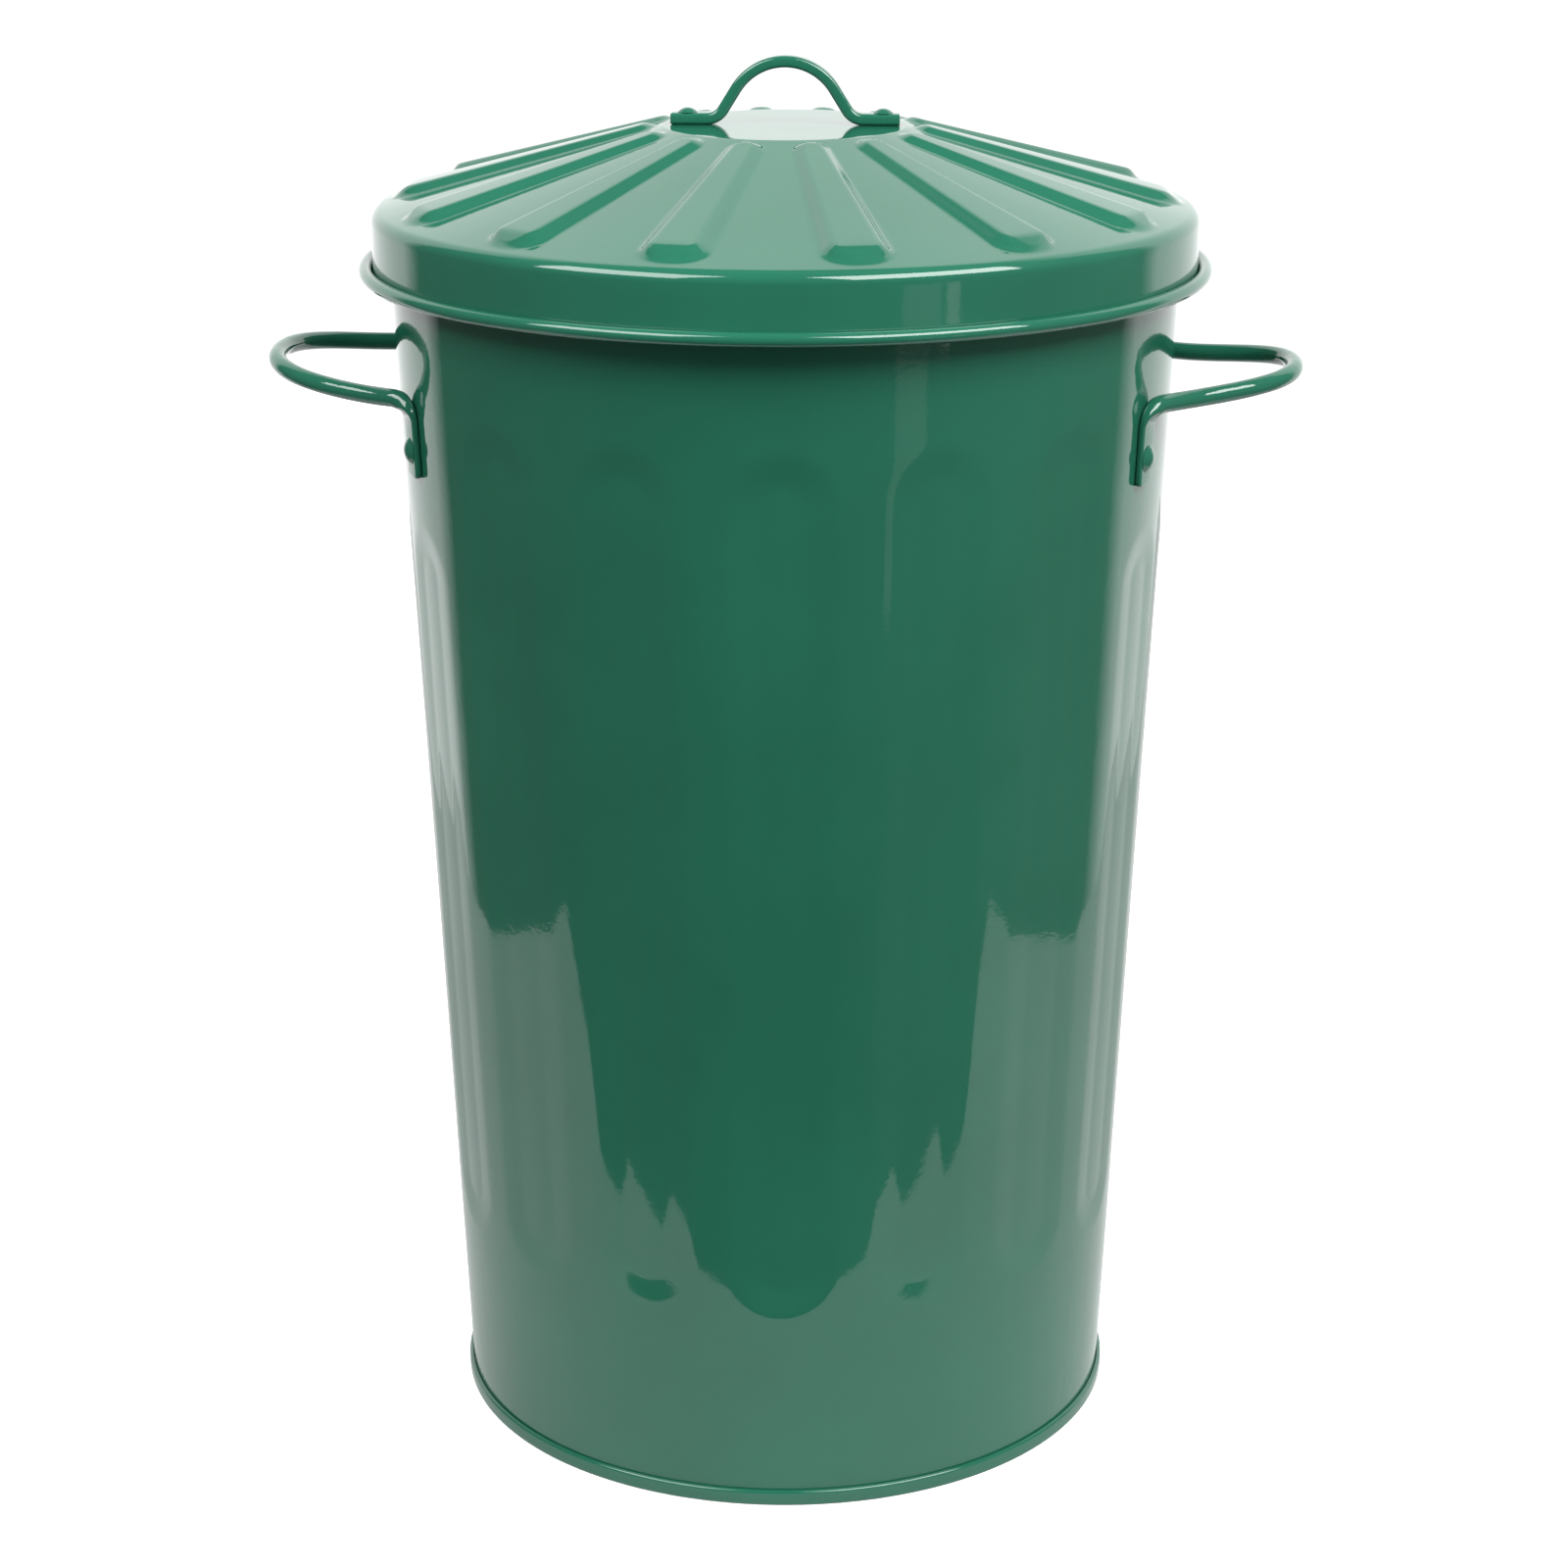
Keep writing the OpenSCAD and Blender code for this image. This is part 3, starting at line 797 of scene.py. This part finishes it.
def rivet(name, head_radius, head_rise, grip, seat, outward):
    """A rivet with its head's seat at a place, its head outward and its tail past the grip."""
    shank, tail, tail_radius, edge = 2.1 * MM, 1.2 * MM, 3.36 * MM, 0.35 * MM
    ball = (head_rise ** 2 + head_radius ** 2) / (2 * head_rise)
    rim_angle = degrees(asin((head_radius - edge) / ball))
    dome = arc((0, head_rise - ball), ball, 90 - rim_angle, 90, 12)
    outline = ([(0, -grip - tail), (tail_radius - 0.3 * MM, -grip - tail),
                (tail_radius, -grip - tail + 0.3 * MM), (tail_radius, -grip), (shank, -grip),
                (shank, 0), (head_radius - 0.1 * MM, 0), (head_radius, edge * 0.5)]
               + dome[:-1] + [(0, head_rise)])
    made = turned(name, outline, rivet_columns)
    made.data.transform(Vector((0, 0, 1)).rotation_difference(outward).to_matrix().to_4x4())
    for vertex in made.data.vertices:
        vertex.co += seat
    return made


print("rivet heads", round(2 * side_head[0] / MM, 1), "and", round(2 * lid_head[0] / MM, 1),
      "mm across")

# %% Side rivets
lean = wall_growth / hypot(1, wall_growth)
square = (1 - lean ** 2) ** 0.5
stack = tab_gap + 2 * tab_half_thick + head_gap
grip = stack + sheet + 0.08 * MM
for name, node, turn in (("rivet_left_front", "left_front_rivet", pi + tab_turn),
                         ("rivet_left_rear", "left_rear_rivet", pi - tab_turn),
                         ("rivet_right_front", "right_front_rivet", -tab_turn),
                         ("rivet_right_rear", "right_rear_rivet", tab_turn)):
    outward = Vector((cos(turn) * square, sin(turn) * square, -lean))
    on_sheet = Vector((wall_radius(rivet_height) * cos(turn), wall_radius(rivet_height) * sin(turn),
                       rivet_height))
    made = rivet(name, *side_head, grip, on_sheet + stack * outward, outward)
    settle(made, "bin", [node], "enamel_rivets")

# %% Lid rivets
rivet_from_axis = 41 * MM
grip = strap_thick + sheet + 0.13 * MM
for name, node, x in (("rivet_lid_left", "lid_rivet_left", -rivet_from_axis),
                      ("rivet_lid_right", "lid_rivet_right", rivet_from_axis)):
    seat = Vector((x, 0, foot_height_on_lid + strap_thick / 2 + head_gap))
    made = rivet(name, *lid_head, grip, seat, Vector((0, 0, 1)))
    settle(made, "lid", [node], "enamel_rivets")

# %% [markdown]
# ## Floor and light
#
# Gloss paint shows what stands round it, so the studio matters as much as the paint. The bin
# stands on a white table with a white sweep behind it, and the room in front is dim. So the wall
# is deep green in the middle and pale at its sides and foot, where it mirrors the sweep and the
# table. The sweep ends fifty degrees up, so the sides of the lid's ribs mirror the dark room
# above it and stay a full green. Two wide soft boxes in front and above draw the bright lines
# along the lid's shoulder, its rim and the rods. A sky texture or a plain white world would
# light the bin well, but it would wash out the green all over.
#
# The table is two panels. A small grey one is lit and mirrored in the paint: it ends a little in
# front of the bin, so its pale reflection stays low on the wall. The camera doesn't see it,
# because its edges would show. What the camera sees is a large white one just above it.


# %% White table
def panel(name, low, high, height, colour, glow):
    """A flat stage panel with a plain colour that also glows a little."""
    mesh = bpy.data.meshes.new(name)
    mesh.from_pydata([(low[0], low[1], height), (high[0], low[1], height),
                      (high[0], high[1], height), (low[0], high[1], height)], [], [(0, 1, 2, 3)])
    made = bpy.data.objects.new(name, mesh)
    material = bpy.data.materials.new(name)
    material.use_nodes = True
    shader = material.node_tree.nodes["Principled BSDF"]
    shader.inputs["Base Color"].default_value = (*colour, 1)
    shader.inputs["Roughness"].default_value = 0.9
    shader.inputs["Specular IOR Level"].default_value = 0
    shader.inputs["Emission Color"].default_value = (1, 1, 1, 1)
    shader.inputs["Emission Strength"].default_value = glow
    mesh.materials.append(material)
    bpy.context.collection.objects.link(made)
    return made


table = panel("white_table", (-0.675, -0.315), (0.675, 1.6), -0.2 * MM, (0.5, 0.5, 0.5), 0.25)
table.visible_camera = False
table_top = panel("white_table_top", (-1.6, -0.9), (1.6, 2.4), 0, (0.9, 0.9, 0.9), 0.55)
table_top.visible_diffuse = table_top.visible_glossy = table_top.visible_shadow = False
print("mirrored table", [round(v, 2) for v in table.dimensions[:2]], "m, table top",
      [round(v, 2) for v in table_top.dimensions[:2]], "m")

# %% Studio world
world = bpy.data.worlds.new("studio")
world.use_nodes = True
bpy.context.scene.world = world
sky = world.node_tree
background = sky.nodes["Background"]
direction = sky.nodes.new("ShaderNodeTexCoord").outputs["Generated"]
split = sky.nodes.new("ShaderNodeSeparateXYZ")
sky.links.new(direction, split.inputs["Vector"])


def calculate(operation, first, second):
    """A maths node of the studio, whose inputs are sockets or numbers."""
    node = sky.nodes.new("ShaderNodeMath")
    node.operation = operation
    for socket, value in zip(node.inputs, (first, second)):
        if isinstance(value, (int, float)):
            socket.default_value = value
        else:
            sky.links.new(value, socket)
    return node.outputs["Value"]


print("the studio's world has", len(sky.nodes), "nodes before its light is shaped")

# %% Sweep behind and dim room in front
sweep_light, above_sweep = 1.35, 0.05
sweep_top = (0.72, 0.84)
sweep_side = (0.45, 0.58)
side_light, right_light, room_light = 0.13, 0.04, 0.07
background_white = 1.05

# behind and aside say how far a direction points to the back and to the right, whatever its height
level = calculate("POWER", calculate("ADD", calculate("POWER", split.outputs["X"], 2.0),
                                     calculate("POWER", split.outputs["Y"], 2.0)), 0.5)
level = calculate("MAXIMUM", level, 0.001)
behind = calculate("DIVIDE", split.outputs["Y"], level)
aside = calculate("DIVIDE", split.outputs["X"], level)
both_sides = calculate("MULTIPLY", calculate("POWER", aside, 2.0), side_light)
room = calculate("ADD", both_sides, calculate("MULTIPLY", aside, right_light))
room = calculate("ADD", room, room_light)
top_edge = spread(sky, split.outputs["Z"], sweep_light, above_sweep, *sweep_top)
behind = calculate("MULTIPLY", spread(sky, behind, 0, 1, *sweep_side), top_edge)
seen = sky.nodes.new("ShaderNodeLightPath").outputs["Is Camera Ray"]
brightness = sky.nodes.new("ShaderNodeMix")
sky.links.new(seen, brightness.inputs["Factor"])
sky.links.new(calculate("ADD", behind, room), brightness.inputs["A"])
brightness.inputs["B"].default_value = background_white
sky.links.new(brightness.outputs["Result"], background.inputs["Strength"])
background.inputs["Color"].default_value = (1, 1, 1, 1)
print("light of the sweep", sweep_light, "and of the room in front", room_light)

# %% Soft boxes
aim = Vector((0, 0, 0.45))


def soft_box(name, turn, rise, distance, width, depth, radiance, mirrored_in_paint=True):
    """A soft light that faces the bin. turn is in degrees from the front towards the right, and
    rise in degrees above the aim."""
    data = bpy.data.lights.new(name, "AREA")
    data.shape = "RECTANGLE"
    data.size, data.size_y = width, depth
    data.energy = radiance * pi * width * depth
    made = bpy.data.objects.new(name, data)
    turn, rise = radians(turn), radians(rise)
    toward = Vector((sin(turn) * cos(rise), -cos(turn) * cos(rise), sin(rise)))
    made.location = aim + distance * toward
    made.rotation_euler = toward.to_track_quat("Z", "Y").to_euler()
    made.visible_camera = False
    made.visible_glossy = mirrored_in_paint
    bpy.context.collection.objects.link(made)
    return made


soft_box("soft_box_left", -49, 43.5, 2.2, 1.55, 1.1, 10)
soft_box("soft_box_right", 46, 43.5, 2.2, 1.80, 1.1, 13.6)
soft_box("bright_doorway", 46.5, -8, 2.0, 0.13, 0.30, 1.1)
soft_box("pale_doorway", 38, -8, 2.0, 0.36, 0.30, 0.45)
soft_box("dim_doorway", 37.7, -16.5, 2.0, 0.31, 0.24, 0.4)
soft_box("front_fill", 15, 8, 2.2, 1.2, 1.2, 2.0, mirrored_in_paint=False)
view = bpy.context.scene.view_settings
view.view_transform = "Standard"
view.look = "None"
